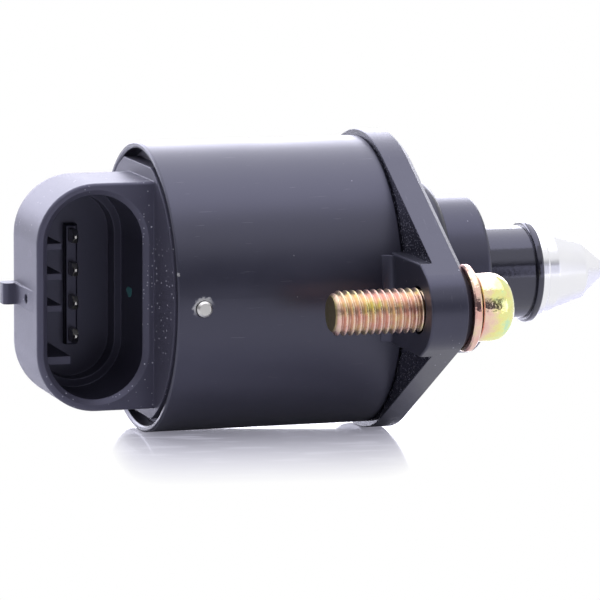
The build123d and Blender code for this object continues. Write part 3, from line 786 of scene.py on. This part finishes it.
# %% Mounting screws
AROUND = 64
screw_pitch = 0.8
thread_depth = 0.49
screw_radius = 2.5
neck_radius = 2.2
end_bevel = 0.6
run_out = 0.9
head_corner = 2.2
groove_depth = 0.9
groove_bevel = 0.1
recess_depth = 2.0
recess_tip = (1.5, 0.7)
recess_mouth = (3.9, 1.15)
recess_overcut = 0.1
tip_x = screw_low.x / MM
head_front = screw_high.x / MM
head_radius = (screw_high.z - screw_low.z) / 2 / MM
thread_end = -4.3


def screw_skin(x, ridge):
    r = screw_radius - thread_depth / 2 * (1 - ridge)
    bevelled = min(r, screw_radius - end_bevel + x - tip_x)
    fade = min(1, (thread_end - x) / run_out)
    return neck_radius + (bevelled - neck_radius) * fade


def recess_bar(turn):
    """One tapered wing of the punch, as a box that narrows to its tip, to cut with."""
    net = bmesh.new()
    bmesh.ops.create_cube(net, size=1)
    for point in net.verts:
        deep = point.co.z < 0
        span, width = recess_tip if deep else recess_mouth
        x = head_front - recess_depth if deep else head_front + recess_overcut
        point.co = Vector((x, span * point.co.x, width * point.co.y))
    bmesh.ops.rotate(net, verts=net.verts, matrix=Matrix.Rotation(turn, 3, "X"))
    return place_piece("recess_bar", shaped(net, "recess_bar"))


net = bmesh.new()
thread(net, tip_x, thread_end, screw_pitch, AROUND, screw_skin)
lathe(net, [(tip_x, 0), (tip_x, screw_radius - end_bevel)], AROUND)
corner = [(math.sin(a), math.cos(a)) for a in (math.pi / 2 * i / 8 for i in range(9))]
flat_radius = head_radius - head_corner
head = [(head_front - head_corner * (1 - s), flat_radius + head_corner * c) for s, c in corner]
groove_radius = head_radius - groove_depth
neck_and_groove = [(thread_end, neck_radius), (head_rear, neck_radius), (head_rear, groove_radius),
                   (groove_end, groove_radius), (groove_end, head_radius - groove_bevel),
                   (groove_end + groove_bevel, head_radius)]
lathe(net, [*neck_and_groove, *head, (head_front, 0)], AROUND)
blank = place_piece("screw_blank", shaped(net, "screw_blank"))
bars = [recess_bar(turn) for turn in (0, math.pi / 2)]
for bar in bars:
    cut = blank.modifiers.new("recess", "BOOLEAN")
    cut.object = bar
    cut.solver = "EXACT"
depsgraph = bpy.context.evaluated_depsgraph_get()
screw_mesh = bpy.data.meshes.new_from_object(blank.evaluated_get(depsgraph))
for used in (blank, *bars):
    bpy.data.objects.remove(used)

screw_mesh.materials.clear()
screw_mesh.materials.append(finishes["screw_zinc"])
for side in ("near", "far"):
    low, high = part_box(f"mounting_screw_{side}")
    screw = place_piece(f"threaded_screw_{side}", screw_mesh, (0, (low.y + high.y) / 2, 0))
    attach(screw, "valve_body")
    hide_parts(f"mounting_screw_{side}")
print(f"screw: {len(screw_mesh.polygons)} faces")

# %% [markdown]
# ## The lead screw
# The screw that pushes the pintle in and out has a thread of the same pitch, from end to end, because
# the rotor's nut runs along it. It is the same winding with both of its ends bevelled.

# %% Lead screw
lead_low, lead_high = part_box("lead_screw")
lead_start = lead_low.x / MM
lead_end = lead_high.x / MM
lead_radius = (lead_high.z - lead_low.z) / 2 / MM
lead_bevel = 0.6


def lead_skin(x, ridge):
    r = lead_radius - thread_depth / 2 * (1 - ridge)
    return min(r, lead_radius - lead_bevel + min(x - lead_start, lead_end - x))


net = bmesh.new()
lead_around = 32
thread(net, lead_start, lead_end, screw_pitch, lead_around, lead_skin)
for end in (lead_start, lead_end):
    lathe(net, [(end, 0), (end, lead_radius - lead_bevel)], lead_around)
lead = place_piece("threaded_lead_screw", shaped(net, "threaded_lead_screw"))
lead.data.materials.append(finishes["screw_steel"])
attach(lead, "pintle")
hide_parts("lead_screw")
print(f"lead screw: {len(lead.data.polygons)} faces")

# %% [markdown]
# ## The return spring
# A spring between its fixed washer and the sleeve takes up the play of the thread. When the pintle is
# drawn in, the spring gets shorter, which a rigid solid can't do. So a copy of the solid takes its place.
# What it would keep of its length follows from the longest way that the pintle travels.

# %% Return spring
slide = next(joint for joint in frame["joints"] if joint["name"] == "pintle_slide")
travel = max(abs(limit) for limit in slide["range_m"])
spring_low, spring_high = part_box("return_spring")
spring_length = spring_high.x - spring_low.x
solid = nodes["return_spring"]
spring = place_piece("flexing_spring", solid.data.copy())
spring.matrix_world = solid.matrix_world
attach(spring, "valve_body")
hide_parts("return_spring")
1 - travel / spring_length
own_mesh(spring)
print(f"spring: {spring_length / MM:.1f} mm long, {(spring_length - travel) / MM:.1f} mm when drawn in")

# %% [markdown]
# ## A dab of marking paint
# Whoever tested the valve left a dab of green paint inside the socket. It is a flat drop with a wavy
# outline. A ray from the middle of the socket finds the wall that it sits on, so it stays on the wall
# even if the socket's width changes.

# %% Paint dab
dab_y = -0.9
dab_z = -0.35
dab_half_y = 1.1
dab_half_z = 0.58
dab_height = 0.07
dab_around = 40
ray_start = Vector((terminal_low.x + 0.5 * MM, dab_y * MM, dab_z * MM))
hit = nodes["connector_housing"].ray_cast(ray_start, Vector((1, 0, 0)))
wall_x = hit[1].x / MM

net = bmesh.new()
rings = []
for share in (0.0, 0.4, 0.7, 0.9, 1.0):
    ring = []
    for turn in range(dab_around):
        angle = math.tau * turn / dab_around
        reach = share * (1 + 0.10 * math.sin(3 * angle + 0.6) + 0.07 * math.sin(5 * angle + 2.0))
        x = wall_x - dab_height * math.sqrt(1 - share ** 2)
        ring.append(net.verts.new((x, dab_y + dab_half_y * reach * math.cos(angle),
                                   dab_z + dab_half_z * reach * math.sin(angle))))
    rings.append(ring)
for inner, outer in zip(rings, rings[1:]):
    for turn in range(dab_around):
        after = (turn + 1) % dab_around
        net.faces.new((inner[turn], inner[after], outer[after], outer[turn]))
net.faces.new(rings[-1])
dab = place_piece("paint_dab", shaped(net, "paint_dab"))

material, w = new_finish("dab_paint")
place = place_on_piece(w)
streaks = noise(w, stretched(w, place, (1.0, 1.0, 4.0)), 1.0, detail=4.0)
colour = blend(w, streaks, (0.03, 0.16, 0.16, 1.0), (0.10, 0.32, 0.30, 1.0))
normal = relief(w, streaks, 0.01, soft_edges(w, 0.05))
surface(w, base_color=colour, roughness=0.30 + 0.2 * streaks, normal=normal)
dab.data.materials.append(material)
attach(dab, "valve_body")
print(f"paint dab on the wall at x {wall_x:.2f} mm")
